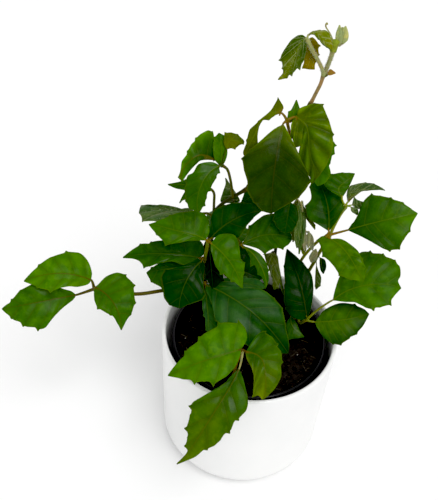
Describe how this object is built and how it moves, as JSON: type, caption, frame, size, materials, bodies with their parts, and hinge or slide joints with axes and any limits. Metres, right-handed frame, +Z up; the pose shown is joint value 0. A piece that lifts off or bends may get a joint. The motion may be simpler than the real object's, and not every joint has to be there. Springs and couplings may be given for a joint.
{
  "type": "potted grape ivy",
  "caption": "Young grape ivy with toothed compound leaves, growing in a black nursery pot that stands in a plain white round cover pot.",
  "frame": {"origin": "middle of the cover pot's flat base", "axes": "+Z up, +X to the right of the picture and +Y away from its viewer"},
  "size_m": [0.2631, 0.2096, 0.3402],
  "materials": {
    "white_glaze": "gloss",
    "black_plastic": "satin",
    "potting_soil": "rough",
    "leaf_green": "satin"
  },
  "bodies": {
    "root": {"cover_pot": "white_glaze", "grower_pot": "black_plastic", "soil": "potting_soil", "climbing_stem": "leaf_green", "front_shoot": "leaf_green", "middle_shoot": "leaf_green", "right_stem": "leaf_green", "low_right_shoot": "leaf_green"}
  },
  "joints": []
}
